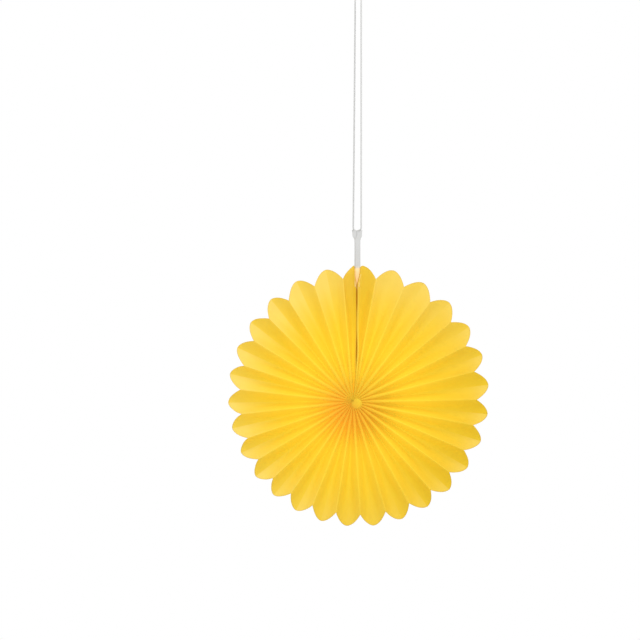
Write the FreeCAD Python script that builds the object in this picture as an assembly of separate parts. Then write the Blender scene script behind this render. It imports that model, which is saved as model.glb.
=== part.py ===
"""Paper fan rosette: one pleated paper sheet opened to a full round, hung from a narrow ribbon.

The front of the rosette faces -Y and +Z is up. All sizes are in millimetres. The origin is the
point inside the top of the ribbon's loop, where a hook or a thread bears.
"""

import FreeCAD, Part
import math
import os

# Outline, seen from the front
OUTLINE_RADIUS = 77.0  # circle through the petal tips
NOTCH_DEPTH = 7.3  # from that circle in to the notches
OUTLINE_CENTRE_X = 0.2
OUTLINE_CENTRE_Z = -245.5
HUB_X = -3.0  # the pleats meet below and left of the middle of the outline
HUB_Z = -248.7

# Pleats
PETALS = 27  # whole petals, besides the two part petals at the seam
FIRST_NOTCH_DEG = 9.9  # clockwise from the top, seen from the front, before the two shifts
LAST_NOTCH_DEG = 355.3
TOP_SHIFT_DEG = 2.3  # pleats lie wider at the top and closer at the bottom
ENDS_SHIFT_DEG = 0.75  # and wider at the top and bottom than at the sides
RIGHT_TIP_DEG = 4.0  # valley folds on the two sides of the seam
LEFT_TIP_DEG = 360.2
RIM_DEPTH = 3.1  # depth of the pleats at the farthest petal tip
PAPER = 0.2
HUB_RADIUS = 0.7  # inner edge of the pleats
HUB_START_DEG = 2.0  # there the folds are evenly spaced from this angle on
FOLD_FLAT = 0.1  # a fold stands this far out of the middle of the paper
LEAST_FLAT = 0.02
CROWDING = 0.8  # most of the room between folds that the paper takes near the hub
SPREAD_RADIUS = 12.0  # out to here the folds pass from their spacing at the hub to that at the rim

# Petal ends
NOTCH_RISE = 0.52  # roundness of the ends: where the edge's second control point lies
SEAM_DEPTH = 5.0  # from the outline circle in to the end of the seam
END_STEPS = 6  # straight steps along the rounded end of one panel
STATIONS = (0.0, 0.02, 0.06, 0.15, 0.27, 0.4, 0.53, 0.66, 0.78, 0.89, 1.0)  # shares of a fold's length

# Seam at the top: the sheet's two end leaves, glued face to face, with two free lips in front
SEAM_X = 2.15  # right of the hub
SEAM_TURN = 0.12  # slope of the seam away from the hub
LIP_SCALE = 10.0  # the lips have their full size well outside this radius
LEFT_LIP = 0.2
RIGHT_LIP = 0.4
LEFT_LIP_OUT = 1.2
RIGHT_LIP_OUT = 1.6
SLIT = 0.24  # gap between the lips where they lie close
GAPE = 0.5  # more gap where they stand open
GAPES = ((68.0, 9.0), (34.0, 8.0))  # where they stand open: distance from the hub and reach
GLUE_DEPTH = 0.7  # glued stretch behind the lips
SLIT_DEPTH = 0.3
SIDE_FLAT = 0.1  # flat of the two valley folds beside the seam

# Ribbon
RIBBON_WIDTH = 3.3
RIBBON_THICKNESS = 0.6
TAIL_X = -0.4  # middle of the doubled ribbon above the rim
TAIL_END_X = -0.6
TAIL_Y = 1.6
TAIL_END_WIDTH = 2.4
TAIL_END_Z = -181.0
RIM_Z = -168.5
TWIST_START_Z = -153.4
TWIST_END_Z = -147.0
LEFT_LEG_X = -3.0  # legs of the loop, above the twist
RIGHT_LEG_X = 1.8
HOOK_RADIUS = 1.5  # inside of the loop's top
TWIST_SECTIONS = 6

HALF_PITCH = (LAST_NOTCH_DEG - FIRST_NOTCH_DEG) / PETALS / 2
PANELS = 2 * PETALS + 4
HUB_PITCH = 360 / PANELS
SEAM = 0  # number of the seam's ridge


def vec(x, y, z):
    """A point."""
    return FreeCAD.Vector(x, y, z)


def reach(angle_deg, radius):
    """Distance from the hub to a circle about the outline's centre, in one direction."""
    a = math.radians(angle_deg)
    right, up = OUTLINE_CENTRE_X - HUB_X, OUTLINE_CENTRE_Z - HUB_Z
    along = right * math.sin(a) + up * math.cos(a)
    return along + math.sqrt(radius**2 - right**2 - up**2 + along**2)


def fold_angle(k):
    """Clockwise angle of a fold at the rim, in degrees. Even folds are ridges."""
    if k == 1:
        return RIGHT_TIP_DEG
    if k == PANELS - 1:
        return LEFT_TIP_DEG
    even = FIRST_NOTCH_DEG + (k - 2) * HALF_PITCH
    a = math.radians(even)
    return even + TOP_SHIFT_DEG * math.sin(a) + ENDS_SHIFT_DEG * math.sin(2 * a)


def angle_at(k, r):
    """Angle of fold k at distance r from the hub, in radians."""
    hub = math.radians(HUB_START_DEG + k * HUB_PITCH)
    if k == SEAM:
        x = SEAM_X * math.tanh(SEAM_TURN * r / SEAM_X)
        return math.asin(x / r) + (hub - SEAM_TURN) * HUB_RADIUS / r
    rim = math.radians(fold_angle(k))
    return rim + (hub - rim) * HUB_RADIUS / r


def room(r):
    """Straight distance between neighbouring folds at distance r from the hub."""
    share = min(1.0, r / SPREAD_RADIUS)
    turn = share * HALF_PITCH + (1 - share) * HUB_PITCH
    return 2 * r * math.sin(math.radians(turn) / 2)


def farthest():
    """Distance from the hub to the farthest point of the outline circle."""
    return OUTLINE_RADIUS + math.hypot(OUTLINE_CENTRE_X - HUB_X, OUTLINE_CENTRE_Z - HUB_Z)


PANEL_WIDTH = math.hypot(room(farthest()), RIM_DEPTH)  # paper from one fold to the next


def height(r):
    """Depth of the pleats from ridge to valley at distance r from the hub."""
    return math.sqrt(PANEL_WIDTH**2 - room(r) ** 2)


def paper_at(r):
    """Thickness of the paper, which is squeezed where the pleats crowd at the hub."""
    return min(PAPER, CROWDING * room(r))


def place(angle, r, y, side=0.0):
    """The point at an angle and distance from the hub, shifted sideways along the rim."""
    x = HUB_X + r * math.sin(angle) + side * math.cos(angle)
    z = HUB_Z + r * math.cos(angle) - side * math.sin(angle)
    return vec(x, y, z)


def fold_flat(r):
    """Half width of the flat on the outside of a fold, and how far out it stands."""
    h, c, t = height(r), room(r), paper_at(r)
    flat = (t * PANEL_WIDTH / 2 - FOLD_FLAT * c) / h
    if flat > LEAST_FLAT:
        return flat, FOLD_FLAT
    return LEAST_FLAT, (t * PANEL_WIDTH / 2 - LEAST_FLAT * h) / c


def lip_scale(r):
    """The lips shrink towards the hub."""
    return math.tanh(r / LIP_SCALE)


def half_slit(r):
    """Half the gap between the lips' front edges."""
    gape = sum(math.exp(-(((r - at) / wide) ** 2)) for at, wide in GAPES)
    return (SLIT + GAPE * gape) / 2 * lip_scale(r)


def lip_profile(r):
    """Front outline of the seam at distance r: sideways and y of its eight corners."""
    flat, out = fold_flat(r)
    base = -height(r) / 2 - out
    q = lip_scale(r)
    near, far = SLIT / 2 * q, half_slit(r)
    left, right = base - LEFT_LIP_OUT * q, base - RIGHT_LIP_OUT * q
    floor = base + SLIT_DEPTH * q
    return [
        (-near - LEFT_LIP * q, base),
        (-far - LEFT_LIP * q, left),
        (-far, left),
        (-near, floor),
        (near, floor),
        (far, right),
        (far + RIGHT_LIP * q, right),
        (near + RIGHT_LIP * q, base),
    ]


def skin_point(k, r, skin, side):
    """A point of the front (-1) or back (+1) skin at fold k; side is the panel's side."""
    k = k % PANELS
    h, c, t = height(r), room(r), paper_at(r)
    ridge = -1 if k % 2 == 0 else 1
    if ridge != skin:
        deep = t * PANEL_WIDTH / (2 * c)
        if k == SEAM:
            deep = max(deep, GLUE_DEPTH * lip_scale(r))
        return place(angle_at(k, r), r, ridge * (h / 2 - deep))
    flat, out = fold_flat(r)
    if k == SEAM:
        shift, y = lip_profile(r)[0 if side < 0 else -1]
        return place(angle_at(k, r), r, y, shift)
    if k in (1, PANELS - 1):
        flat = max(flat, SIDE_FLAT * lip_scale(r))
    return place(angle_at(k, r), r, ridge * (h / 2 + out), side * flat)


def straight_reach(k):
    """Distance from the hub to which the paper beside a fold is straight across."""
    if k % PANELS == SEAM:
        return reach(0, OUTLINE_RADIUS - SEAM_DEPTH)
    return reach(fold_angle(k % PANELS), OUTLINE_RADIUS - NOTCH_DEPTH)


def tip_reach(k):
    """Distance from the hub to the outer end of a valley fold."""
    return reach(fold_angle(k % PANELS), OUTLINE_RADIUS)


def radii(k):
    """Distances from the hub at the stations of a fold."""
    return [HUB_RADIUS + v * (straight_reach(k) - HUB_RADIUS) for v in STATIONS]


def rail(k, skin, side):
    """One skin's edge along fold k, from the hub out; a valley fold's ends at a petal tip."""
    points = [skin_point(k, r, skin, side) for r in radii(k)]
    if k % 2 == 1:
        points.append(skin_point(k, tip_reach(k), skin, side))
    return points


def end_points(k, skin):
    """The rounded outer edge of one skin of a panel, from fold k to the next."""
    ridge, valley = (k, k + 1) if k % 2 == 0 else (k + 1, k)
    low, high = straight_reach(ridge), tip_reach(valley)
    points = []
    for j in range(END_STEPS + 1):
        f = j / END_STEPS
        lift = 3 * NOTCH_RISE * f * (1 - f) ** 2 + 3 * f * f * (1 - f) + f**3
        r = low + (high - low) * lift
        across = f if ridge == k else 1 - f
        one, other = skin_point(k, r, skin, 1), skin_point(k + 1, r, skin, -1)
        points.append(one + (other - one) * across)
    return points if ridge == k else points[::-1]


def polygon_face(points):
    """A flat face between points."""
    return Part.Face(Part.makePolygon(points + points[:1]))


def strip(one, other):
    """Flat triangles between two lines of as many points each."""
    faces = []
    for a, b, c, d in zip(one, one[1:], other[1:], other):
        faces += [polygon_face([a, b, c]), polygon_face([a, c, d])]
    return faces


def panel_skin(k, skin):
    """One skin of a panel: a twisted band of flat triangles with a rounded outer end."""
    count = len(STATIONS)
    one, other = rail(k, skin, 1), rail(k + 1, skin, -1)
    faces = strip(one[:count], other[:count])
    valley = other[count - 1] if k % 2 == 0 else one[count - 1]
    edge = end_points(k, skin)
    return faces + [polygon_face([valley, a, b]) for a, b in zip(edge, edge[1:])]


def panel_ends(k):
    """The paper's thickness along a panel's hub edge and its outer edge."""
    faces = strip(end_points(k, -1), end_points(k, 1))
    hub = [[rail(k, skin, 1)[0], rail(k + 1, skin, -1)[0]] for skin in (-1, 1)]
    return faces + strip(hub[0], hub[1])


def closed_along(rails, inner):
    """The strips between neighbouring rails, and the flat ends that an inner rail completes."""
    faces = []
    for a, b in zip(rails, rails[1:]):
        faces += strip(a, b)
    for at in (0, -1):
        faces.append(polygon_face([line[at] for line in rails + [inner]]))
    return faces


def fold_faces(k):
    """The narrow flat on the outside of fold k, and the small faces at its two ends."""
    outer = -1 if k % 2 == 0 else 1
    return closed_along([rail(k, outer, -1), rail(k, outer, 1)], rail(k, -outer, 1))


def seam_faces():
    """The two lips of the seam, and the small faces at their ends."""
    rails = []
    for i in range(8):
        corners = [(r, lip_profile(r)[i]) for r in radii(SEAM)]
        rails.append([place(angle_at(SEAM, r), r, y, x) for r, (x, y) in corners])
    return closed_along(rails, rail(SEAM, 1, 1))


def pleated_fan():
    """The whole sheet, glued into a round at the seam: one closed solid."""
    faces = seam_faces()
    for k in range(PANELS):
        faces += panel_skin(k, -1) + panel_skin(k, 1) + panel_ends(k)
    for k in range(1, PANELS):
        faces += fold_faces(k)
    shell = Part.Compound(faces)
    shell.sewShape(1e-4)
    solid = Part.Solid(shell.Shells[0])
    if solid.Volume < 0:
        solid.reverse()
    return solid


def section(x, y, z, turn_deg, width=RIBBON_WIDTH, thickness=RIBBON_THICKNESS):
    """A closed flat section of the ribbon, face-on to the front at no turn."""
    a = math.radians(turn_deg)
    along = vec(math.cos(a), math.sin(a), 0) * (width / 2)
    across = vec(-math.sin(a), math.cos(a), 0) * (thickness / 2)
    at = vec(x, y, z)
    corners = [at - along - across, at + along - across, at + along + across, at - along + across]
    return Part.makePolygon(corners + corners[:1])


def ribbon_tail():
    """The two layers of ribbon together, from inside the seam up to the twist."""
    double = 2 * RIBBON_THICKNESS
    lower = [
        section(TAIL_END_X, TAIL_Y, TAIL_END_Z, 0, TAIL_END_WIDTH, double),
        section(TAIL_X, TAIL_Y, RIM_Z, 0, RIBBON_WIDTH, double),
    ]
    upper = [
        section(TAIL_X, TAIL_Y, RIM_Z, 0, RIBBON_WIDTH, double),
        section(TAIL_X, 0, TWIST_START_Z, 0, RIBBON_WIDTH, double),
    ]
    return Part.makeLoft(lower, True, True).fuse(Part.makeLoft(upper, True, True))


def twist(side):
    """One layer's quarter turn, while it parts from the other layer."""
    sections = []
    for i in range(TWIST_SECTIONS + 1):
        share = i / TWIST_SECTIONS
        ease = share * share * (3 - 2 * share)
        turn = 90 * ease
        gap = RIBBON_THICKNESS + (RIGHT_LEG_X - LEFT_LEG_X - RIBBON_THICKNESS) * ease
        middle = TAIL_X + ((LEFT_LEG_X + RIGHT_LEG_X) / 2 - TAIL_X) * ease
        a = math.radians(turn)
        x = middle - side * gap / 2 * math.sin(a)
        y = side * gap / 2 * math.cos(a)
        z = TWIST_START_Z + share * (TWIST_END_Z - TWIST_START_Z)
        sections.append(section(x, y, z, turn))
    return Part.makeLoft(sections, True, True)


def loop_centre_line():
    """Both legs of the loop and its round top, as one wire above the twist."""
    radius = HOOK_RADIUS + RIBBON_THICKNESS / 2
    top = RIBBON_THICKNESS / 2
    spring = top - radius
    left = vec(-radius, 0, spring)
    right = vec(radius, 0, spring)
    return [
        Part.LineSegment(vec(LEFT_LEG_X, 0, TWIST_END_Z), left),
        Part.Arc(left, vec(0, 0, top), right),
        Part.LineSegment(right, vec(RIGHT_LEG_X, 0, TWIST_END_Z)),
    ]


def ribbon_loop():
    """The ribbon above the twist, edge-on to the front."""
    legs = []
    line = loop_centre_line()
    for run in (line[0], line[2]):
        a, b = run.StartPoint, run.EndPoint
        ends_ = [section(p.x, 0, p.z, 90) for p in (a, b)]
        legs.append(Part.makeLoft(ends_, True, True))
    spring = line[0].EndPoint.z
    half = RIBBON_WIDTH / 2
    outer = Part.makeCylinder(
        HOOK_RADIUS + RIBBON_THICKNESS, RIBBON_WIDTH, vec(0, half, spring), vec(0, -1, 0)
    )
    inner = Part.makeCylinder(HOOK_RADIUS, RIBBON_WIDTH, vec(0, half, spring), vec(0, -1, 0))
    below = Part.makeBox(8, 8, 8, vec(-4, -4, spring - 8))
    return legs[0].fuse([outer.cut(inner).cut(below), legs[1]])


def hanging_ribbon():
    """The whole ribbon: one length, doubled, with both ends in the seam."""
    body = ribbon_loop().fuse([twist(-1), twist(1), ribbon_tail()])
    return body.removeSplitter()


def main():
    os.makedirs("parts", exist_ok=True)
    pieces = {"pleated_fan": pleated_fan(), "hanging_ribbon": hanging_ribbon()}
    for name, shape in pieces.items():
        solid = shape.Solids[0] if len(shape.Solids) == 1 else shape
        print(name, len(shape.Solids), "solid", solid.isValid(), round(solid.Volume, 1), solid.BoundBox)
        solid.exportStep(f"parts/{name}.step")
    runs = [edge.length() for edge in loop_centre_line()]
    print("loop runs", [round(x, 1) for x in runs])
    print("loop arc radius", HOOK_RADIUS + RIBBON_THICKNESS / 2)
    print("loop volume by section", round(sum(runs) * RIBBON_WIDTH * RIBBON_THICKNESS, 1))
    print("loop volume", round(ribbon_loop().Volume, 1))


main()
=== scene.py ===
"""Paper fan rosette on its ribbon, in metres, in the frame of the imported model.

The front of the rosette faces -Y and +Z is up. The origin is the point inside the top of the
ribbon's loop. Sizes in the dataclasses are in millimetres and become metres where points are made.
"""

import logging
import math
import random
from dataclasses import dataclass
from enum import Enum
from typing import Callable, List, Sequence, Tuple, Union

import bmesh
import bpy
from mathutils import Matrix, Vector, noise

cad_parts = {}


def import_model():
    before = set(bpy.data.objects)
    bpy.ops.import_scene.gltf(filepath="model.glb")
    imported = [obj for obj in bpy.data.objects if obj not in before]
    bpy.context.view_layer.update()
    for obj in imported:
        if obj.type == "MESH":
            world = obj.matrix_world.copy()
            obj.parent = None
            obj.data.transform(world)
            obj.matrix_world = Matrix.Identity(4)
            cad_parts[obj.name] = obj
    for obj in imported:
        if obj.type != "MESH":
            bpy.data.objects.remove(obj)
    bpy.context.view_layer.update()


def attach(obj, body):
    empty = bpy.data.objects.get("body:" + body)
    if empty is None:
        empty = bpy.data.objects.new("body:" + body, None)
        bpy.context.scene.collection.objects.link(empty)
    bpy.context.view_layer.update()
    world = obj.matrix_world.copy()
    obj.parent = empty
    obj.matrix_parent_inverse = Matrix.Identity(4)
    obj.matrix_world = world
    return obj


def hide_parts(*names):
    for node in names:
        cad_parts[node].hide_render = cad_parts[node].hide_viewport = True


LOG = logging.getLogger("paper_fan")
MM = 0.001
# Mesh layers of painted light: painted highlight, painted shade, the painted orange of that shade,
# and a painted glow.
LAYERS = ("pale", "shade", "warm", "through")
Point = Tuple[float, float, float]
Colour = Tuple[float, float, float]
Values = Tuple[Tuple[str, object], ...]
Pair = Tuple[float, float]
Along = Callable[[float], float]
Ring = List[bmesh.types.BMVert]
BMesh = bmesh.types.BMesh
Object = bpy.types.Object
Material = bpy.types.Material
Tree = bpy.types.NodeTree
Socket = bpy.types.NodeSocket


class Slot(Enum):
    """Names of the record's material slots."""

    PAPER = "tissue_paper"
    RIBBON = "ribbon"


@dataclass(frozen=True)
class Fan:
    """Sizes of the pleated sheet, seen from the front, clockwise angles from the top."""

    outline_radius: float = 77.0
    notch_depth: float = 7.3
    outline_x: float = 0.2
    outline_z: float = -245.5
    hub_x: float = -3.0
    hub_z: float = -248.7
    petals: int = 27
    first_notch: float = 9.9
    last_notch: float = 355.3
    wider_top: float = 2.3
    wider_ends: float = 0.75
    right_tip: float = 4.0
    left_tip: float = 360.2
    rim_depth: float = 3.1
    paper: float = 0.2
    hub_radius: float = 0.7
    hub_start: float = 2.0
    crowding: float = 0.8
    spread_radius: float = 12.0
    notch_rise: float = 0.62
    seam_depth: float = 5.0
    seam_x: float = 2.15
    seam_turn: float = 0.12

    @property
    def panels(self) -> int:
        """Number of panels between folds."""
        return 2 * self.petals + 4

    @property
    def half_pitch(self) -> float:
        """Mean angle from one fold to the next."""
        return (self.last_notch - self.first_notch) / self.petals / 2

    @property
    def panel_width(self) -> float:
        """Paper from one fold to the next."""
        off = math.hypot(self.outline_x - self.hub_x, self.outline_z - self.hub_z)
        chord = 2 * (self.outline_radius + off) * math.sin(math.radians(self.half_pitch) / 2)
        return math.hypot(chord, self.rim_depth)


@dataclass(frozen=True)
class Lips:
    """Sizes of the two free edges of the sheet at the seam, and their painted highlight and shade.
    """

    scale: float = 10.0
    left_out: float = 1.2
    right_out: float = 1.5
    slit: float = 0.24
    gape: float = 0.5
    gapes: Tuple[Pair, ...] = ((61.7, 8.0), (31.3, 7.5))
    left_top: float = 1.15
    right_top: float = 1.6
    top_depth: float = 4.0
    left_curl: float = 0.15
    right_curl: float = 0.85
    bend: float = 0.7
    slow_turn: float = 0.5
    open_from: float = 14.0
    # Painted highlight on the lips, then painted shade in the slit between them.
    pale_right: float = 0.25
    pale_left: float = 0.1
    pale_reach: float = 10.0
    pale_top: float = 0.8
    pale_top_depth: float = 6.0
    dark: float = 0.55
    dark_gape: float = 0.6
    dark_least: float = 0.15
    dark_reach: float = 12.0
    dark_end: float = 0.85
    dark_fade: float = 0.2
    across: float = 0.16
    off: float = 0.45


@dataclass(frozen=True)
class Folds:
    """How round the folds are: most near the hub, and the valleys also towards the rim."""

    least: float = 0.3
    smallest: float = 0.01
    hub: float = 0.65
    hub_low: float = 0.7
    low_deg: float = 150.0
    hub_reach: float = 24.0
    valley: float = 8.5
    valley_start: float = 22.0
    valley_reach: float = 55.0
    share: float = 0.84
    share_low: float = 0.13


@dataclass(frozen=True)
class Uneven:
    """How far the hand-folded sheet is from an even one.

    A wrinkle has a depth, a step from panel to panel, a start, its turns across and its length.
    """

    seed: int = 7
    turn_deg: float = 0.22
    full_turn: float = 40.0
    lift: float = 0.12
    full_lift: float = 50.0
    bow: float = 0.12
    bow_spread: float = 0.12
    full_bow: float = 45.0
    # Random strength of the painted highlight from panel to panel.
    fade_low: float = 0.8
    fade_high: float = 1.15
    wrinkles: Tuple[Tuple[float, ...], ...] = (
        (0.3, 3.7, 0.0, 1.6, 16.0), (0.05, 5.3, 40.0, 5.0, 5.0),
    )


@dataclass(frozen=True)
class Knob:
    """The pleats' inner ends, pressed to a small knob in front of the hub and one behind it."""

    x: float = -1.0
    z: float = -249.9
    y: float = -4.6
    radius: float = 3.1
    rise: float = 0.9
    back_rise: float = 0.6
    pucker: float = 0.07
    lump: float = 0.25
    lump_scale: float = 0.9
    lump_row: float = 3.0
    pit: float = 0.25
    pit_x: float = -3.2
    pit_z: float = -248.1
    pit_spread: float = 0.45
    # Painted shade in the pit and at the lower left edge, painted orange and a painted glow.
    pit_dark: float = 0.5
    pit_dark_spread: float = 0.6
    edge_dark: float = 0.25
    edge_deg: float = 60.0
    warm: float = 0.35
    warm_deg: float = 45.0
    through: float = 0.42
    rings: int = 9


@dataclass(frozen=True)
class PaintedHighlight:
    """How a painted highlight pales the paper towards the rim, most on the left and at the top."""

    start: float = 35.0
    reach: float = 32.5
    power: float = 1.8
    most: float = 1.1
    side: float = 0.55
    side_swing: float = 0.62
    side_deg: float = 290.0
    top_deg: float = 15.0
    top_width: float = 28.0
    lit_top: float = 0.15
    turned: float = 0.13
    turned_side: float = 0.2
    turned_top: float = 0.4
    seam: float = 0.4
    edge: float = 0.48
    edge_width: float = 6.5
    edge_share: float = 0.4


@dataclass(frozen=True)
class Light:
    """Painted light between the pleats: its shadow, its orange and a glow for light through the
    paper.
    """

    edge_dark: float = 0.3
    edge_width: float = 0.2
    dark: float = 0.3
    dark_swing: float = 0.2
    dark_deg: float = 320.0
    dark_reach: float = 15.0
    dark_more: float = 10.0
    dark_more_deg: float = 100.0
    warm: float = 0.25
    warm_low: float = 0.6
    warm_top_deg: float = 25.0
    warm_at: float = 7.0
    warm_reach: float = 7.0
    warm_more: float = 6.0
    warm_probe: float = 40.0
    through: float = 0.74
    through_end: float = 74.0
    through_fade: float = 42.0
    through_near: float = 26.0
    through_swing: float = 1.2
    through_ridge: float = 0.8


@dataclass(frozen=True)
class Band:
    """The ribbon: its route and its section."""

    width: float = 3.1
    thickness: float = 0.34
    end_width: float = 2.0
    twist_start: float = -148.0
    twist_end: float = -147.1
    leg_turn: float = 75.0
    hook_start: float = -15.0
    # Where the painted peach shade begins on the ribbon's end and how fast it fades in.
    peach_shade_start: float = -169.3
    peach_shade_fade: float = 1.2
    tail: float = 12.5
    spline_order: int = 3
    spline_steps: int = 14
    section: Tuple[Pair, ...] = (
        (-0.5, 0.0), (-0.47, 0.8), (-0.2, 1.0), (0.2, 1.0), (0.47, 0.8), (0.5, 0.0),
    )
    route: Tuple[Point, ...] = (
        (-0.95, 1.8, -181.0), (-0.65, 1.8, -168.5), (-0.6, 0.3, -159.0),
        (-0.6, 0.3, -152.6), (-1.85, 0.25, -151.6), (-1.85, 0.2, -147.9),
        (-2.95, 0.0, -146.9), (-2.85, 0.0, -143.0), (-1.75, 0.0, -20.0),
        (-1.8, 0.0, 0.3), (1.8, 0.0, 0.3), (1.8, 0.0, -20.0),
        (1.8, 0.0, -143.0), (1.8, 0.0, -146.9), (0.75, -0.2, -147.9),
        (0.75, -0.2, -151.6), (-0.25, -0.1, -152.6), (-0.25, -0.1, -159.0),
        (-0.2, 1.4, -168.5), (-0.25, 1.4, -181.0),
    )


@dataclass(frozen=True)
class Look:
    """Camera, lamp, world and floor, in metres and watts."""

    aim: Point = (-0.0225, 0.0, -0.2006)
    distance: float = 1.8
    frame_width: float = 0.3776
    sensor: float = 36.0
    lamp_at: Point = (0.1, -0.75, 0.75)
    lamp_aim: Point = (0.0, 0.0, -0.245)
    lamp_size: float = 0.5
    lamp_power: float = 4.0
    world: float = 1.0
    floor_z: float = -0.46
    floor_size: float = 0.9
    floor_tone: float = 0.8
    floor_rough: float = 0.8
    floor_white: float = 0.85


@dataclass(frozen=True)
class Tissue:
    """The paper's finish: the colours of its dye and of the painted light on it, and its grain."""

    dye: Colour = (0.88, 0.65, 0.027)
    cloud: Colour = (0.92, 0.69, 0.037)
    # Colour of the painted orange of the shade between the pleats.
    warm: Colour = (0.92, 0.50, 0.022)
    # Colour of the painted highlight.
    pale: Colour = (0.96, 0.77, 0.22)
    # Colour of the painted shade.
    dark: Colour = (0.56, 0.28, 0.006)
    # Colours of the painted glow that stands in for light through the paper: open, orange, rim,
    # shade.
    glow: Colour = (0.37, 0.43, 0.050)
    warm_glow: Colour = (0.45, 0.345, 0.038)
    rim_glow: Colour = (0.06, 0.085, 0.012)
    dark_glow: Colour = (0.12, 0.04, 0.0)
    clouds: Values = (("Scale", 260.0), ("Detail", 6.0), ("Roughness", 0.6))
    fibres: Values = (("Scale", 1400.0), ("Detail", 4.0), ("Roughness", 0.7))
    bump: Values = (("Strength", 0.25), ("Distance", 0.0002))
    face: Values = (("Roughness", 0.65), ("Specular IOR Level", 0.35), ("Emission Strength", 1.0))
    lets_through: float = 0.5


@dataclass(frozen=True)
class Satin:
    """The ribbon's finish: white weave, and a painted peach shade and glow on its end in the seam.
    """

    white: Colour = (0.60, 0.60, 0.59)
    # Painted peach shade and painted glow of the end that lies behind the yellow paper.
    paste: Colour = (0.92, 0.70, 0.42)
    glow: Colour = (0.0, 0.0, 0.0)
    peach_shade_glow: Colour = (0.2, 0.17, 0.10)
    weave: Values = (("Scale", 900.0), ("Distortion", 0.4), ("Detail", 1.0))
    bump: Values = (("Strength", 0.2), ("Distance", 0.00005))
    face: Values = (
        ("Roughness", 0.45), ("Specular IOR Level", 0.4), ("Sheen Weight", 0.2),
        ("Emission Strength", 1.0),
    )


def part(value: float) -> float:
    """A value kept between 0 and 1."""
    return min(1.0, max(0.0, value))


def bell(value: float) -> float:
    """1 at zero, and falling smoothly to 0 on both sides."""
    return math.exp(-(value**2))


def finished(name: str, bm: BMesh, material: Material) -> Object:
    """Puts a mesh into the scene.

    Args:
        name: name of the object.
        bm: the mesh, which is freed.
        material: its material.

    Returns:
        The object.
    """
    mesh = bpy.data.meshes.new(name)
    bm.to_mesh(mesh)
    bm.free()
    mesh.materials.append(material)
    obj = bpy.data.objects.new(name, mesh)
    bpy.context.scene.collection.objects.link(obj)
    return obj


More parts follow.
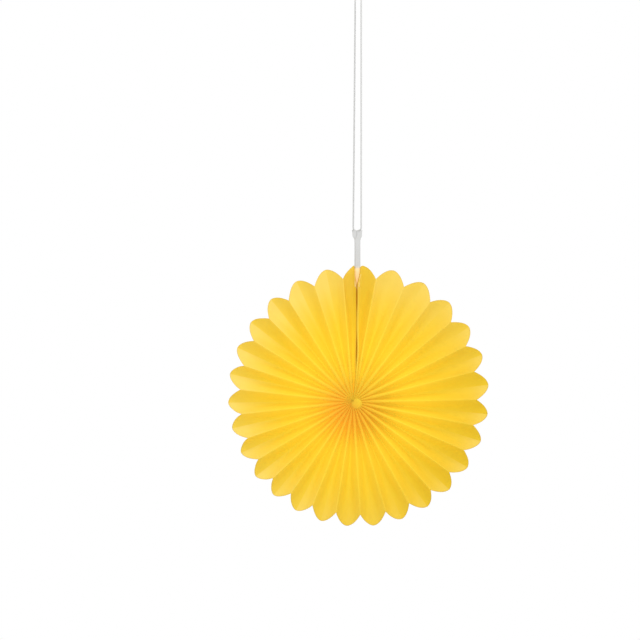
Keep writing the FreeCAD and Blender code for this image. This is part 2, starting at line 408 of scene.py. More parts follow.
@dataclass
class FoldedSheet:
    """Where each point of the pleated sheet lies, and the painted light and shade there."""

    fan: Fan = Fan()
    lips: Lips = Lips()
    folds: Folds = Folds()
    knob: Knob = Knob()
    tint: PaintedHighlight = PaintedHighlight()
    light: Light = Light()
    uneven: Uneven = Uneven()
    edge_passes: int = 3

    def __post_init__(self) -> None:
        """Draws what differs from fold to fold."""
        fan, uneven = self.fan, self.uneven
        rng = random.Random(uneven.seed)
        self.turns = [rng.gauss(0.0, uneven.turn_deg) for _ in range(fan.panels + 1)]
        self.lifts = [rng.gauss(0.0, uneven.lift) for _ in range(fan.panels + 1)]
        self.bows = [rng.gauss(uneven.bow, uneven.bow_spread) for _ in range(fan.panels + 1)]
        self.fades = [
            rng.uniform(uneven.fade_low, uneven.fade_high) for _ in range(fan.panels + 1)
        ]
        for k in (0, 1, fan.panels - 1, fan.panels):
            self.turns[k] = 0.0
            self.lifts[k] = 0.0

    def reach(self, angle: float, radius: float) -> float:
        """Distance from the hub to a circle about the outline's centre.

        Args:
            angle: direction in degrees.
            radius: radius of the circle.

        Returns:
            The distance.
        """
        fan = self.fan
        a = math.radians(angle)
        right, up = fan.outline_x - fan.hub_x, fan.outline_z - fan.hub_z
        along = right * math.sin(a) + up * math.cos(a)
        return along + math.sqrt(radius**2 - right**2 - up**2 + along**2)

    def fold_angle(self, k: int) -> float:
        """Angle of a fold at the rim.

        Args:
            k: number of the fold. Even folds are ridges.

        Returns:
            The angle in degrees.
        """
        fan = self.fan
        if k == 1:
            return fan.right_tip
        if k == fan.panels - 1:
            return fan.left_tip
        even = fan.first_notch + (k - 2) * fan.half_pitch
        a = math.radians(even)
        return even + fan.wider_top * math.sin(a) + fan.wider_ends * math.sin(2 * a)

    def angle_at(self, k: int, r: float) -> float:
        """Angle of a fold at one distance from the hub.

        Args:
            k: number of the fold.
            r: distance from the hub.

        Returns:
            The angle in radians.
        """
        fan = self.fan
        seam = k in (0, fan.panels)
        hub = math.radians(fan.hub_start + (k % fan.panels) * 360 / fan.panels)
        if seam:
            x = fan.seam_x * math.tanh(fan.seam_turn * r / fan.seam_x)
            return math.asin(x / r) + (hub - fan.seam_turn) * fan.hub_radius / r
        turned = self.turns[k] * min(1.0, r / self.uneven.full_turn)
        rim = math.radians(self.fold_angle(k) + turned)
        return rim + (hub - rim) * fan.hub_radius / r

    def room(self, r: float) -> float:
        """Straight distance between neighbouring folds.

        Args:
            r: distance from the hub.

        Returns:
            The distance.
        """
        fan = self.fan
        share = min(1.0, r / fan.spread_radius)
        turn = share * fan.half_pitch + (1 - share) * 360 / fan.panels
        return 2 * r * math.sin(math.radians(turn) / 2)

    def height(self, r: float) -> float:
        """Depth of the pleats at a distance from the hub, from ridge to valley."""
        return math.sqrt(self.fan.panel_width**2 - self.room(r) ** 2)

    def place(self, angle: float, r: float, y: float, side: float = 0.0) -> Vector:
        """A point at an angle and distance from the hub.

        Args:
            angle: direction in radians.
            r: distance from the hub.
            y: depth.
            side: shift sideways along the rim.

        Returns:
            The point.
        """
        fan = self.fan
        x = fan.hub_x + r * math.sin(angle) + side * math.cos(angle)
        z = fan.hub_z + r * math.cos(angle) - side * math.sin(angle)
        return Vector((x, y, z))

    def fold_foot(self, k: int, r: float) -> Vector:
        """A point of a fold, at no depth.

        Args:
            k: number of the fold.
            r: distance from the hub.

        Returns:
            The point.
        """
        side = 0.0
        if k in (0, self.fan.panels):
            side = self.leaf_side(k) * (self.lips.off * self.thickness(r) + self.mouth(k, r))
        return self.place(self.angle_at(k, r), r, 0.0, side)

    def mouth(self, k: int, r: float) -> float:
        """How far leaf k stands off the seam, where the ribbon comes out at the top."""
        wide = self.lips.right_top if k == 0 else self.lips.left_top
        return wide * bell(max(0.0, self.inner_reach(k) - r) / self.lips.top_depth)

    def fold_depth(self, k: int, r: float) -> float:
        """How far a fold stands off the middle at a distance from the hub."""
        return self.height(r) / 2 + self.lifts[k] * min(1.0, r / self.uneven.full_lift)

    def fold_round(self, k: int, c: float, r: float) -> float:
        """Radius of a fold. The folds nearly touch at the hub, and the valleys widen outwards.

        Args:
            k: number of the fold.
            c: distance to the next fold.
            r: distance from the hub.

        Returns:
            The radius.
        """
        if k in (0, self.fan.panels):
            return 0.0
        folds = self.folds
        low = 0.5 - 0.5 * math.cos(math.radians(self.fold_angle(k) - folds.low_deg))
        most = folds.least + (folds.hub + folds.hub_low * low) * bell(r / folds.hub_reach)
        if k % 2:
            most += folds.valley * max(0.0, (r - folds.valley_start) / folds.valley_reach) ** 2
        room = (folds.share + folds.share_low * low) * c - 0.5 * self.thickness(r)
        return max(folds.smallest, min(most, room))

    @staticmethod
    def section(f: float, c: float, h: float, near: float, far: float) -> Pair:
        """A point across a panel between two round folds.

        Args:
            f: share of the way from the ridge to the valley.
            c: sideways distance between them.
            h: depth between them.
            near: radius of the ridge.
            far: radius of the valley.

        Returns:
            Sideways distance and depth from the ridge.
        """
        deep = h - near - far
        span = math.hypot(c, deep)
        slope = math.atan2(deep, c) + math.asin(min(1.0, (near + far) / span))
        line = math.sqrt(max(0.0, span**2 - (near + far) ** 2))
        at = f * (line + (near + far) * slope)
        if near > 0 and at < near * slope:
            return near * math.sin(at / near), near * (1 - math.cos(at / near))
        rest = line + (near + far) * slope - at
        if far > 0 and rest < far * slope:
            return c - far * math.sin(rest / far), h - far * (1 - math.cos(rest / far))
        at -= near * slope
        return (
            near * math.sin(slope) + at * math.cos(slope),
            near * (1 - math.cos(slope)) + at * math.sin(slope),
        )

    def leaf_side(self, k: int) -> int:
        """Side of the seam of an end leaf: 1 for the right one and -1 for the left."""
        return 1 if k == 0 else -1

    def thickness(self, r: float) -> float:
        """Thickness of the paper at a distance from the hub, squeezed near it."""
        return min(self.fan.paper, self.fan.crowding * self.room(r))

    def inner_reach(self, k: int) -> float:
        """Distance from the hub to the notch in the direction of a fold.

        Args:
            k: number of the fold.

        Returns:
            The distance.
        """
        fan = self.fan
        if k in (0, fan.panels):
            return self.reach(0.0, fan.outline_radius - fan.seam_depth)
        return self.reach(self.fold_angle(k), fan.outline_radius - fan.notch_depth)

    def edge(self, k: int, f: float) -> float:
        """Distance from the hub to the rounded outer end of a panel.

        Args:
            k: number of the panel.
            f: 0 at fold k and 1 at the next.

        Returns:
            The distance.
        """
        fan = self.fan
        ridge, valley = (k, k + 1) if k % 2 == 0 else (k + 1, k)
        low, high = self.inner_reach(ridge), self.reach(self.fold_angle(valley), fan.outline_radius)
        r = high
        for _ in range(self.edge_passes):
            c, h = self.room(r), self.height(r)
            radii = self.fold_round(ridge, c, r), self.fold_round(valley, c, r)
            g = part(self.section(f if ridge == k else 1 - f, c, h, *radii)[0] / c)
            lift = 3 * fan.notch_rise * g * (1 - g) ** 2 + 3 * g * g * (1 - g) + g**3
            if k == fan.panels - 2:
                lift = (lift + 2 * g) / 3
            r = low + (high - low) * lift
        return r

    def panel_point(self, k: int, f: float, r: float) -> Vector:
        """A point of a panel, with its bow and small creases.

        Args:
            k: number of the panel.
            f: 0 at fold k and 1 at the next.
            r: distance from the hub.

        Returns:
            The point.
        """
        even = k % 2 == 0
        ridge, valley = (k, k + 1) if even else (k + 1, k)
        foot, other = self.fold_foot(ridge, r), self.fold_foot(valley, r)
        front, back = self.fold_depth(ridge, r), self.fold_depth(valley, r)
        c = (other - foot).length
        aside = (other - foot) / c
        radii = self.fold_round(ridge, c, r), self.fold_round(valley, c, r)
        s, d = self.section(f if even else 1 - f, c, front + back, *radii)
        point = foot + aside * s + Vector((0.0, d - front, 0.0))
        slope = (aside * c + Vector((0.0, front + back, 0.0))).normalized()
        normal = Vector((0.0, -1.0, 0.0))
        normal = (normal - slope * normal.dot(slope)).normalized()
        free = min(1.0, (r / self.uneven.full_bow) ** 2)
        arch = math.sin(math.pi * f)
        bow = self.bows[k] * arch * free
        small = sum(
            noise.noise(Vector((k * step + start, f * across, r / length))) * depth * arch
            for depth, step, start, across, length in self.uneven.wrinkles
        )
        return point + normal * (bow + small * free)

    def pale(self, k: int, r: float) -> float:
        """How strong the painted highlight on a panel is at one distance from the hub.

        Args:
            k: number of the panel.
            r: distance from the hub.

        Returns:
            0 for the full colour, 1 for the strongest painted highlight.
        """
        tint = self.tint
        turn = 0.0
        if 0 < k < self.fan.panels - 1:
            turn = math.degrees(self.angle_at(k, r) + self.angle_at(k + 1, r)) / 2
        swing = tint.side_swing * math.cos(math.radians(turn - tint.side_deg))
        side = part(tint.side + swing)
        off = (turn - tint.top_deg + 180.0) % 360.0 - 180.0
        top = bell(off / tint.top_width)
        # Painted highlight: the even panels take it mostly on the left side, the odd ones more at
        # the top.
        if k % 2 == 0:
            level = side + tint.lit_top * top
        else:
            level = tint.turned + tint.turned_side * side + tint.turned_top * top
        out = min(tint.most, max(0.0, (r - tint.start) / tint.reach)) ** tint.power
        if not 1 < k < self.fan.panels - 2:
            return min(1.0, tint.seam * level * out * self.fades[k])
        level *= out * self.fades[k]
        # A painted highlight along the rim of the odd panels on the right side.
        if k % 2:
            edge = bell((self.edge(k, tint.edge_share) - r) / tint.edge_width)
            level += tint.edge * edge * max(0.0, math.sin(math.radians(turn)))
        return min(1.0, level)

    def shade(self, f: float, k: int, r: float) -> float:
        """How little light reaches a point between the pleats.

        Args:
            f: 0 at fold k and 1 at the next.
            k: number of the panel.
            r: distance from the hub.

        Returns:
            0 in the open and 1 in the dark.
        """
        light = self.light
        valley = f if k % 2 == 0 else 1 - f
        # Plus a thin darker line along the rim's edge.
        rim = light.edge_dark if r > self.edge(k, f) - light.edge_width else 0.0
        turn = math.radians(self.fold_angle(min(max(k, 2), self.fan.panels - 2)))
        level = light.dark - light.dark_swing * math.cos(turn - math.radians(light.dark_deg))
        aside = max(0.0, math.cos(turn - math.radians(light.dark_more_deg)))
        reach = light.dark_reach + light.dark_more * aside
        return rim + level * valley**2 * bell(r / reach)

    def through(self, f: float, k: int, r: float) -> float:
        """How strong the painted glow is around a point, for light through the pleats' paper.

        Args:
            f: 0 at fold k and 1 at the next.
            k: number of the panel.
            r: distance from the hub.

        Returns:
            0 for none and 1 for the most.
        """
        light = self.light
        valley = f if k % 2 == 0 else 1 - f
        out = part((light.through_end - r) / light.through_fade)
        swing = light.through_swing * valley - light.through_ridge
        return out * light.through * (1 + bell(r / light.through_near) * swing)

    def warm(self, k: int, r: float) -> float:
        """How orange the light between the pleats is, most below the hub.

        Args:
            k: number of the panel.
            r: distance from the hub.

        Returns:
            0 for none and 1 for the most.
        """
        light = self.light
        turn = self.angle_at(min(max(k, 2), self.fan.panels - 3), light.warm_probe)
        low = 0.5 - 0.5 * math.cos(turn - math.radians(light.warm_top_deg))
        reach = light.warm_reach + light.warm_more * low
        return (light.warm + light.warm_low * low) * bell((r - light.warm_at) / reach)

    def pit(self, x: float, z: float, spread: float) -> float:
        """How near a point of the front knob is to the small pit beside it, at most 1."""
        knob = self.knob
        return math.exp(-(((x - knob.pit_x) ** 2 + (z - knob.pit_z) ** 2) / spread))

    def knob_point(self, share: float, turn: float) -> Vector:
        """A point of the small knob of pressed pleat ends in front of the hub.

        Args:
            share: 0 in its middle and 1 at its edge.
            turn: direction in radians.

        Returns:
            The point.
        """
        knob = self.knob
        r = share * knob.radius
        x, z = knob.x + r * math.sin(turn), knob.z + r * math.cos(turn)
        rise = knob.rise * math.sqrt(max(0.0, 1 - share**2))
        pucker = knob.pucker * share**2 * math.cos(self.fan.petals * turn)
        dip = knob.pit * self.pit(x, z, knob.pit_spread)
        spot = Vector((x * knob.lump_scale, knob.lump_row, z * knob.lump_scale))
        lump = knob.lump * noise.noise(spot)
        return Vector((x, knob.y - rise - pucker - lump * (1 - share) + dip, z))

    def back_knob_point(self, share: float, turn: float) -> Vector:
        """A point of the knob behind the hub.

        Args:
            share: 0 in its middle and 1 at its edge.
            turn: direction in radians.

        Returns:
            The point.
        """
        knob, fan = self.knob, self.fan
        r = -share * knob.radius
        rise = knob.back_rise * knob.rise * math.sqrt(max(0.0, 1 - share**2))
        pucker = knob.pucker * share**2 * math.cos(fan.petals * turn)
        x, z = fan.hub_x + r * math.sin(turn), fan.hub_z + r * math.cos(turn)
        return Vector((x, -knob.y + rise + pucker, z))

    def knob_shade(self, share: float, turn: float) -> float:
        """How dark the painted shade on the knob is, in its pit and at its lower left edge.

        Args:
            share: 0 in its middle and 1 at its edge.
            turn: direction in radians.

        Returns:
            0 in the open and 1 in the dark.
        """
        knob = self.knob
        r = share * knob.radius
        x, z = knob.x + r * math.sin(turn), knob.z + r * math.cos(turn)
        pit = knob.pit_dark * self.pit(x, z, knob.pit_dark_spread)
        away = 0.5 - 0.5 * math.cos(turn - math.radians(knob.edge_deg))
        return min(1.0, pit + knob.edge_dark * share**4 * away)

    def knob_warm(self, share: float, turn: float) -> float:
        """How strong the painted orange shade on the knob is, most at its lower left."""
        knob = self.knob
        return knob.warm - knob.warm * share * math.cos(turn - math.radians(knob.warm_deg))

    def gape(self, r: float) -> float:
        """How far the lips stand open at a distance from the hub, 0 for closed."""
        return sum(bell((r - at) / wide) for at, wide in self.lips.gapes)

    def lip_point(self, k: int, share: float, r: float) -> Vector:
        """A point of a free lip in front of the seam.

        Args:
            k: 0 for the right lip or the number of panels for the left one.
            share: 0 at the seam and 1 at the lip's edge.
            r: distance from the hub.

        Returns:
            The point.
        """
        lips = self.lips
        q = math.tanh(r / lips.scale)
        side = self.leaf_side(k)
        half = (lips.slit + lips.gape * self.gape(r)) / 2 * q
        curl = lips.right_curl if side > 0 else lips.left_curl
        opened = min(1.0, share / lips.bend)
        turned = max(0.0, (share - lips.bend) / (1 - lips.bend))
        aside = lips.off * self.thickness(r) + self.mouth(k, r) + half * opened + curl * q * turned
        out = (lips.right_out if side > 0 else lips.left_out) * q
        reach = out * (opened * lips.bend + turned * (1 - lips.bend) * lips.slow_turn)
        return self.place(self.angle_at(k, r), r, -self.height(r) / 2 - reach, side * aside)

    def lip_painted_highlight(self, k: int, share: float, r: float) -> float:
        """How strong the painted highlight on a lip is.

        Args:
            k: number of the lip's fold.
            share: 0 at the seam and 1 at the lip's edge.
            r: distance from the hub.

        Returns:
            0 for the full colour, 1 for the strongest painted highlight.
        """
        lips = self.lips
        top = bell((r - self.inner_reach(k)) / lips.pale_top_depth)
        level = lips.pale_right if k == 0 else lips.pale_left
        level *= part((r - lips.open_from) / lips.pale_reach)
        return min(1.0, level + lips.pale_top * top) * (1.0 if share > lips.bend else 0.0)

    def lip_shade(self, share: float, r: float) -> float:
        """How little light reaches a point of a lip.

        Args:
            share: 0 at the seam and 1 at the lip's edge.
            r: distance from the hub.

        Returns:
            0 in the open and 1 in the dark.
        """
        lips = self.lips
        level = min(1.0, lips.dark + lips.dark_gape * self.gape(r))
        level *= min(1.0, max(lips.dark_least, (r - lips.open_from) / lips.dark_reach))
        return level * part((lips.dark_end - share) / lips.dark_fade)


@dataclass
class Column:
    """One line of the strip's points, from the hub out."""

    point: Callable[[float], Vector]
    end: float
    across: float
    pale: Along
    shade: Along
    warm: Along
    through: Along


@dataclass
class FanPiece:
    """Makes the pleated sheet as one mesh: a flat strip, folded point by point."""

    sheet: FoldedSheet
    shares: Tuple[float, ...] = (
        0.0, 0.02, 0.045, 0.08, 0.14, 0.25, 0.37, 0.5, 0.63, 0.75, 0.86, 0.92, 0.955, 0.98,
    )
    lip_shares: Tuple[float, ...] = (1.0, 0.9, 0.8, 0.7, 0.5, 0.25)
    rows: int = 43
    last_row: float = 0.994
    crowding: float = 1.35
    knob_points: int = 6

    def lip_column(self, k: int, share: float) -> Column:
        """A column of a lip.

        Args:
            k: number of the lip's fold.
            share: 0 at the seam and 1 at the lip's edge.

        Returns:
            The column.
        """
        sheet = self.sheet
        across = sheet.lips.across * share
        return Column(
            lambda r: sheet.lip_point(k, share, r),
            sheet.inner_reach(k),
            k - across if k == 0 else k + across,
            lambda r: sheet.lip_painted_highlight(k, share, r),
            lambda r: sheet.lip_shade(share, r),
            lambda r: sheet.warm(k, r),
            lambda r: sheet.through(0.0, 0, r),
        )

    def panel_column(self, k: int, f: float) -> Column:
        """A column of a panel.

        Args:
            k: number of the panel.
            f: 0 at fold k and 1 at the next.

        Returns:
            The column.
        """
        sheet = self.sheet

        def pale(r: float) -> float:
            """Strength of the painted highlight, halfway between both panels where it is a fold."""
            if f not in (0.0, 1.0):
                return sheet.pale(k, r)
            other = (k - 1 if f == 0.0 else k + 1) % sheet.fan.panels
            return (sheet.pale(k, r) + sheet.pale(other, r)) / 2

        return Column(
            lambda r: sheet.panel_point(k, f, r),
            sheet.edge(k, f),
            k + f,
            pale,
            lambda r: sheet.shade(f, k, r),
            lambda r: sheet.warm(k, r),
            lambda r: sheet.through(f, k, r),
        )

    def columns(self) -> List[Column]:
        """The strip's columns from its right lip to its left one.

        Returns:
            The columns.
        """
        end = self.sheet.fan.panels
        made = [self.lip_column(0, s) for s in self.lip_shares]
        for k in range(end):
            made += [self.panel_column(k, f) for f in self.shares]
        made.append(self.panel_column(end - 1, 1.0))
        return made + [self.lip_column(end, s) for s in reversed(self.lip_shares)]

    def stations(self) -> List[float]:
        """Shares of a column's length from 0 to 1, close together near the hub."""
        last = self.rows - 2
        return [self.last_row * (i / last) ** self.crowding for i in range(last + 1)] + [1.0]

    def build(self, material: Material) -> Object:
        """Makes the object.

        Args:
            material: the paper's material.

        Returns:
            The object.
        """
        columns, shares = self.columns(), self.stations()
        bm = bmesh.new()
        uv = bm.loops.layers.uv.new("flat")
        pale, shade, warm, through = (bm.verts.layers.float.new(one) for one in LAYERS)
        bmesh.ops.create_grid(bm, x_segments=len(columns) - 1, y_segments=len(shares) - 1, size=1.0)
        bm.verts.ensure_lookup_table()
        thin: List[float] = []
        spot: List[Pair] = []
        fan = self.sheet.fan
        for index, vert in enumerate(bm.verts):
            column, share = columns[index % len(columns)], shares[index // len(columns)]
            r = fan.hub_radius + share * (column.end - fan.hub_radius)
            vert.co = column.point(r) * MM
            vert[pale], vert[shade], vert[warm] = column.pale(r), column.shade(r), column.warm(r)
            vert[through] = column.through(r)
            spot.append((column.across * fan.panel_width * MM, r * MM))
            thin.append(self.sheet.thickness(r) / fan.paper)
        self.add_knob(bm, self.sheet.knob_point, thin, spot)
        self.add_knob(bm, self.sheet.back_knob_point, thin, spot)
        for face in bm.faces:
            for loop in face.loops:
                loop[uv].uv = spot[loop.vert.index]
            face.smooth = True
        obj = finished("pleated_sheet", bm, material)
        self.thicken(obj, thin)
        return obj

    def add_knob(
        self,
        bm: BMesh,
        point: Callable[[float, float], Vector],
        thin: List[float],
        spot: List[Pair],
    ) -> None:
        """Adds a knob of pressed pleat ends at the hub.

        Args:
            bm: the mesh.
            point: gives a point of the knob from its share and direction.
            thin: takes the share of the full thickness at each new vertex.
            spot: takes the place of each new vertex on the flat paper.
        """
        shade, warm, through = (bm.verts.layers.float[one] for one in LAYERS[1:])
        sheet = self.sheet
        around, rings = self.knob_points * sheet.fan.petals, sheet.knob.rings
        made: List[Ring] = []
        for i in range(rings + 1):
            ring = []
            for j in range(around if i else 1):
                share, turn = math.sin(i / rings * math.pi / 2), j / around * math.tau
                vert = bm.verts.new(point(share, turn) * MM)
                vert[shade] = sheet.knob_shade(share, turn)
                vert[warm] = sheet.knob_warm(share, turn)
                vert[through] = sheet.knob.through
                vert.index = len(thin)
                thin.append(1.0)
                spot.append((vert.co.x, vert.co.z))
                ring.append(vert)
            made.append(ring)
        for inner, outer in zip(made, made[1:]):
            for j in range(around):
                k = (j + 1) % around
                pair = (inner[j], inner[k]) if len(inner) > 1 else (inner[0],)
                bm.faces.new((outer[k], outer[j], *pair))

    def thicken(self, obj: Object, thin: Sequence[float]) -> None:
        """Gives the sheet its thickness.

        Args:
            obj: the sheet.
            thin: share of the full thickness at each vertex.
        """
        group = obj.vertex_groups.new(name="thickness")
        for index, share in enumerate(thin):
            group.add([index], share, "REPLACE")
        solid = obj.modifiers.new("thickness", "SOLIDIFY")
        solid.thickness = self.sheet.fan.paper * MM
        solid.offset = 0.0
        solid.vertex_group = group.name
        solid.thickness_vertex_group = 0.0


@dataclass
class RibbonPiece:
    """Makes the ribbon as a flat band along the curve of its route."""

    band: Band = Band()

    def line(self) -> List[Vector]:
        """Points of the smooth curve through the route, from end to end.

        Returns:
            The points in metres.
        """
        curve = bpy.data.curves.new("ribbon_route", "CURVE")
        curve.dimensions = "3D"
        spline = curve.splines.new("NURBS")
        spline.points.add(len(self.band.route) - 1)
        for point, (x, y, z) in zip(spline.points, self.band.route):
            point.co = (x * MM, y * MM, z * MM, 1.0)
        spline.order_u = self.band.spline_order
        spline.use_endpoint_u = True
        spline.resolution_u = self.band.spline_steps
        holder = bpy.data.objects.new("ribbon_route", curve)
        mesh = bpy.data.meshes.new_from_object(holder)
        points = [v.co.copy() for v in mesh.vertices]
        bpy.data.objects.remove(holder)
        bpy.data.meshes.remove(mesh)
        return points

    def turn(self, z: float) -> float:
        """How far the band has turned from face-on.

        Args:
            z: height in metres.

        Returns:
            The angle in radians.
        """
        band = self.band
        share = part((z / MM - band.twist_start) / (band.twist_end - band.twist_start))
        ease = share * share * (3 - 2 * share)
        top = part(1 - z / MM / band.hook_start)
        return math.radians(band.leg_turn * ease + (90 - band.leg_turn) * top)

    def build(self, material: Material) -> Tuple[Object, List[Vector]]:
        """Makes the object.

        Args:
            material: the ribbon's material.

        Returns:
            The object and the points that it follows.
        """
        points = self.line()
        bm = bmesh.new()
        uv = bm.loops.layers.uv.new("flat")
        bm.verts.layers.float.new("paste")
        lengths: List[float] = [0.0]
        for a, b in zip(points, points[1:]):
            lengths.append(lengths[-1] + (b - a).length)
        rings = [self.ring(bm, points, i) for i in range(len(points))]
        width = self.band.width * MM
        for one, other, s, t in zip(rings, rings[1:], lengths, lengths[1:]):
            for j in range(len(one)):
                k = (j + 1) % len(one)
                face = bm.faces.new((one[j], one[k], other[k], other[j]))
                face.smooth = True
                u, v = j / len(one) * width, (j + 1) / len(one) * width
                for loop, pair in zip(face.loops, ((u, s), (v, s), (v, t), (u, t))):
                    loop[uv].uv = pair
        bm.faces.new(rings[0])
        bm.faces.new(rings[-1])
        bmesh.ops.recalc_face_normals(bm, faces=bm.faces)
        return finished("ribbon_band", bm, material), points

    def ring(
        self, bm: BMesh, points: Sequence[Vector], i: int
    ) -> Ring:
        """One section of the band.

        Args:
            bm: the mesh that takes the section's vertices.
            points: the points that the band follows.
            i: number of the point.

        Returns:
            The section's vertices in order round it.
        """
        band, at = self.band, points[i]
        before, after = points[max(i - 1, 0)], points[min(i + 1, len(points) - 1)]
        along = (after - before).normalized()
        angle = self.turn(at.z)
        wide = Vector((math.cos(angle), math.sin(angle), 0.0))
        out = along.cross(wide).normalized()
        share = part((at.z - band.route[0][2] * MM) / (band.tail * MM))
        width = (band.end_width + (band.width - band.end_width) * share) * MM
        verts = []
        paste = bm.verts.layers.float["paste"]
        back = tuple((-a, -b) for a, b in band.section[1:-1])
        for a, b in band.section + back:
            vert = bm.verts.new(at + wide * (a * width) + out * (b * band.thickness * MM / 2))
            # Painted peach shade on the end in the seam.
            vert[paste] = part((band.peach_shade_start - at.z / MM) / band.peach_shade_fade)
            verts.append(vert)
        return verts


class Materials:
    """Makes the procedural materials."""

    @staticmethod
    def node(tree: Tree, kind: str, values: Values = ()) -> bpy.types.Node:
        """Adds a node.

        Args:
            tree: the node tree.
            kind: type of the node.
            values: names and values of its input sockets.

        Returns:
            The node.
        """
        made = tree.nodes.new(kind)
        for name, value in values:
            made.inputs[name].default_value = value
        return made

    @staticmethod
    def mix(tree: Tree, share: Socket, *pair: Union[Colour, Socket]) -> Socket:
        """Mixes two colours.

        Args:
            tree: the node tree.
            share: share of the second colour.
            pair: the two colours, each three numbers or a socket.

        Returns:
            The mixed colour's socket.
        """
        made = tree.nodes.new("ShaderNodeMix")
        made.data_type = "RGBA"
        sockets = [one for one in made.inputs if one.type == "RGBA"]
        tree.links.new(share, [one for one in made.inputs if one.type == "VALUE"][0])
        for colour, socket in zip(pair, sockets):
            if isinstance(colour, tuple):
                socket.default_value = (*colour, 1.0)
            else:
                tree.links.new(colour, socket)
        return [one for one in made.outputs if one.type == "RGBA"][0]

    @staticmethod
    def blend(tree: Tree, out: bpy.types.Node, share: Union[float, Socket], *pair: Socket) -> None:
        """Gives the output node a mix of two shaders.

        Args:
            tree: the node tree.
            out: the output node.
            share: share of the second shader, a number or a socket.
            pair: the two shaders.
        """
        both = tree.nodes.new("ShaderNodeMixShader")
        if isinstance(share, float):
            both.inputs["Fac"].default_value = share
        else:
            tree.links.new(share, both.inputs["Fac"])
        for shader, socket in zip(pair, both.inputs[1:]):
            tree.links.new(shader, socket)
        tree.links.new(both.outputs["Shader"], out.inputs["Surface"])

    @staticmethod
    def read(tree: Tree, name: str) -> Socket:
        """Reads an attribute of the mesh.

        Args:
            tree: the node tree.
            name: name of the attribute.

        Returns:
            The value's socket.
        """
        made = tree.nodes.new("ShaderNodeAttribute")
        made.attribute_name = name
        return made.outputs["Fac"]

    @staticmethod
    def seen(tree: Tree) -> Socket:
        """Tells the rays that see white.

        Args:
            tree: the node tree.

        Returns:
            The socket that is 1 for such a ray and 0 for the rest.
        """
        path = tree.nodes.new("ShaderNodeLightPath")
        share = path.outputs["Is Camera Ray"]
        for name in ("Is Glossy Ray", "Is Transmission Ray"):
            most = tree.nodes.new("ShaderNodeMath")
            most.operation = "MAXIMUM"
            tree.links.new(share, most.inputs[0])
            tree.links.new(path.outputs[name], most.inputs[1])
            share = most.outputs["Value"]
        return share

    @classmethod
    def floor(cls, look: Look) -> Material:
        """A plain pale floor, nearly white to the camera. What it isn't white by shows its shadows.

        Args:
            look: the floor's tone, and how white the camera sees it.

        Returns:
            The material.
        """
        material, tree, out = cls.start("pale_floor")
        tone = (look.floor_tone, look.floor_tone, look.floor_tone, 1.0)
        pale = (("Base Color", tone), ("Roughness", look.floor_rough))
        plain = cls.node(tree, "ShaderNodeBsdfPrincipled", pale)
        bright = cls.node(tree, "ShaderNodeEmission", (("Strength", 1.0),))
        share = tree.nodes.new("ShaderNodeMath")
        share.operation = "MULTIPLY"
        share.inputs[1].default_value = look.floor_white
        tree.links.new(cls.seen(tree), share.inputs[0])
        cls.blend(tree, out, share.outputs["Value"], plain.outputs[0], bright.outputs[0])
        return material

    @staticmethod
    def start(name: str) -> Tuple[Material, Tree, bpy.types.Node]:
        """Starts an empty material.

        Args:
            name: name of the material.

        Returns:
            The material, its tree and its output node.
        """
        material = bpy.data.materials.new(name)
        material.use_nodes = True
        tree = material.node_tree
        tree.nodes.clear()
        return material, tree, tree.nodes.new("ShaderNodeOutputMaterial")

    @classmethod
    def face(
        cls, tree: Tree, finish: Union[Tissue, Satin], grain: Socket, tone: Socket, glow: Socket
    ) -> Tuple[Socket, Socket]:
        """The face of a finish, with its fine bumps.

        Args:
            tree: the node tree.
            finish: the finish.
            grain: height of the bumps.
            tone: colour of the face.
            glow: colour of the light that it gives.

        Returns:
            The face's socket and that of the bumps.
        """
        bump = cls.node(tree, "ShaderNodeBump", finish.bump)
        tree.links.new(grain, bump.inputs["Height"])
        made = cls.node(tree, "ShaderNodeBsdfPrincipled", finish.face)
        tree.links.new(tone, made.inputs["Base Color"])
        tree.links.new(glow, made.inputs["Emission Color"])
        tree.links.new(bump.outputs["Normal"], made.inputs["Normal"])
        return made.outputs["BSDF"], bump.outputs["Normal"]

    @classmethod
    def paper(cls, tissue: Tissue) -> Material:
        """Yellow tissue paper that lets light through, with painted shade, orange, highlight and
        glow.

        Args:
            tissue: the paper's finish.

        Returns:
            The material.
        """
        material, tree, out = cls.start("yellow_tissue")
        link = tree.links.new
        spot = cls.node(tree, "ShaderNodeTexCoord").outputs["Object"]
        clouds = cls.node(tree, "ShaderNodeTexNoise", tissue.clouds)
        fibres = cls.node(tree, "ShaderNodeTexNoise", tissue.fibres)
        link(spot, clouds.inputs["Vector"])
        link(spot, fibres.inputs["Vector"])
        pale, shade, warm, through = (cls.read(tree, one) for one in LAYERS)
        dye = cls.mix(tree, clouds.outputs["Fac"], tissue.dye, tissue.cloud)
        # Painted orange of the shade between the pleats, mixed into the dye's colour.
        dye = cls.mix(tree, warm, dye, tissue.warm)
        # Painted highlight.
        light = cls.mix(tree, pale, dye, tissue.pale)
        # Painted shade.
        tone = cls.mix(tree, shade, light, tissue.dark)
        # Painted glow, orange below the hub and darker in the painted shade.
        glow = cls.mix(tree, warm, tissue.glow, tissue.warm_glow)
        glow = cls.mix(tree, through, tissue.rim_glow, glow)
        glow = cls.mix(tree, shade, glow, tissue.dark_glow)
        face, bumps = cls.face(tree, tissue, fibres.outputs["Fac"], tone, glow)
        lit = cls.node(tree, "ShaderNodeBsdfTranslucent")
        link(tone, lit.inputs["Color"])
        link(bumps, lit.inputs["Normal"])
        cls.blend(tree, out, tissue.lets_through, face, lit.outputs["BSDF"])
        return material

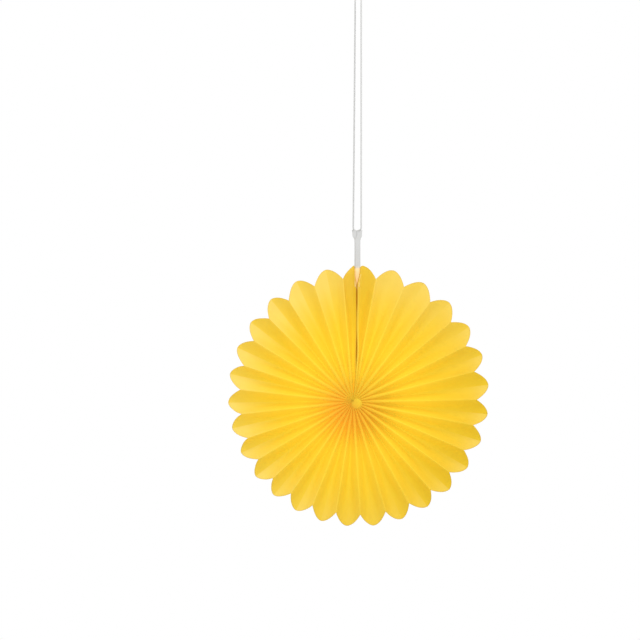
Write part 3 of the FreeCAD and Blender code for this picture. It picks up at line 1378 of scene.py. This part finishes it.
    @classmethod
    def ribbon(cls, satin: Satin) -> Material:
        """White woven satin ribbon, with a painted peach shade and glow on its end in the seam.

        Args:
            satin: the ribbon's finish.

        Returns:
            The material.
        """
        material, tree, out = cls.start("white_satin")
        spot = cls.node(tree, "ShaderNodeUVMap")
        spot.uv_map = "flat"
        weft = cls.node(tree, "ShaderNodeTexWave", satin.weave)
        weft.bands_direction = "Y"
        tree.links.new(spot.outputs["UV"], weft.inputs["Vector"])
        # Painted peach shade and glow on the end in the seam.
        paste = cls.read(tree, "paste")
        tone = cls.mix(tree, paste, satin.white, satin.paste)
        glow = cls.mix(tree, paste, satin.glow, satin.peach_shade_glow)
        face = cls.face(tree, satin, weft.outputs["Fac"], tone, glow)[0]
        tree.links.new(face, out.inputs["Surface"])
        return material


@dataclass
class Studio:
    """Sets the camera, the light, the floor and the white background."""

    look: Look = Look()

    def camera(self) -> None:
        """Adds the camera square to the front."""
        look = self.look
        data = bpy.data.cameras.new("camera")
        data.sensor_width = look.sensor
        data.lens = look.sensor * look.distance / look.frame_width
        cam = bpy.data.objects.new("camera", data)
        cam.location = Vector(look.aim) + Vector((0.0, -look.distance, 0.0))
        cam.rotation_euler = (math.radians(90), 0.0, 0.0)
        bpy.context.scene.collection.objects.link(cam)
        bpy.context.scene.camera = cam

    def lamp(self) -> None:
        """Adds the square area light that faces the rosette."""
        look = self.look
        data = bpy.data.lights.new("top", "AREA")
        data.shape = "SQUARE"
        data.size = look.lamp_size
        data.energy = look.lamp_power
        lamp = bpy.data.objects.new("top", data)
        lamp.location = look.lamp_at
        aim = Vector(look.lamp_aim) - Vector(look.lamp_at)
        lamp.rotation_euler = aim.to_track_quat("-Z", "Y").to_euler()
        bpy.context.scene.collection.objects.link(lamp)

    def world(self) -> None:
        """Makes the world white to the camera and a soft light to the rest."""
        world = bpy.data.worlds.new("white")
        bpy.context.scene.world = world
        world.use_nodes = True
        tree = world.node_tree
        tree.nodes.clear()
        out = tree.nodes.new("ShaderNodeOutputWorld")
        soft = Materials.node(tree, "ShaderNodeBackground", (("Strength", self.look.world),))
        seen = Materials.node(tree, "ShaderNodeBackground", (("Strength", 1.0),))
        for one in (soft, seen):
            one.inputs["Color"].default_value = (1.0, 1.0, 1.0, 1.0)
        Materials.blend(tree, out, Materials.seen(tree), soft.outputs[0], seen.outputs[0])

    def floor(self) -> None:
        """Adds the pale floor, well below the rosette and the picture."""
        bm = bmesh.new()
        bmesh.ops.create_grid(bm, x_segments=1, y_segments=1, size=self.look.floor_size / 2)
        obj = finished("floor", bm, Materials.floor(self.look))
        obj.location = (0.0, 0.0, self.look.floor_z)

    def light(self) -> None:
        """Sets all light."""
        self.lamp()
        self.world()
        bpy.context.scene.view_settings.view_transform = "Standard"


def main() -> None:
    """Builds the scene."""
    logging.basicConfig(level=logging.INFO)
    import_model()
    studio = Studio()
    studio.camera()
    band = Band()
    ribbon, line = RibbonPiece(band).build(Materials.ribbon(Satin()))
    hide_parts("hanging_ribbon")
    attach(ribbon, "root")
    [tuple(p) for p in line]
    LOG.info("%s: a band along %d points", ribbon.name, len(line))
    fan = FanPiece(FoldedSheet()).build(Materials.paper(Tissue()))
    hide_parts("pleated_fan")
    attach(fan, "root")
    LOG.info("%s: one folded strip of %d points", fan.name, len(fan.data.vertices))
    studio.floor()
    studio.light()


if __name__ == "__main__":
    main()
